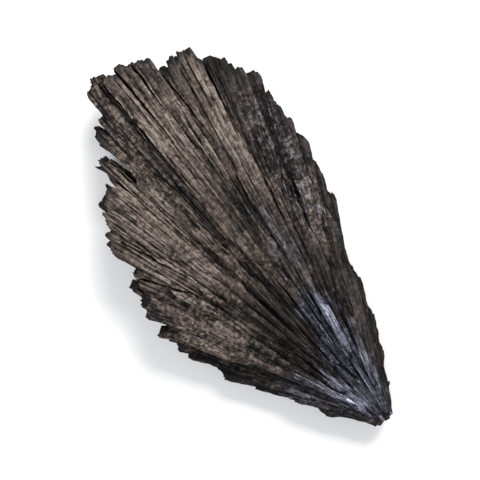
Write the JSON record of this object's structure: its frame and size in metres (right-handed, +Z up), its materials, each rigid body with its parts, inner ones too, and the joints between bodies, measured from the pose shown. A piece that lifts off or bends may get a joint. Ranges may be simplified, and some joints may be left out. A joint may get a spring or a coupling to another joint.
{
  "type": "black tourmaline crystal fan",
  "caption": "Raw mineral specimen: a flattened fan of bladed dark crystals that flares from a narrow foot to a jagged rim, lying on its back.",
  "frame": {"origin": "centre of the stone's bounding box in plan, on the floor it lies on", "axes": "+Y from the foot to the rim, +Z up from the floor, +X to the right seen from above"},
  "size_m": [0.0444, 0.08, 0.0124],
  "materials": {
    "stone": "dull and fibrous, glossy on fresh crystal faces"
  },
  "bodies": {
    "root": {"tourmaline_fan": "stone"}
  },
  "joints": []
}
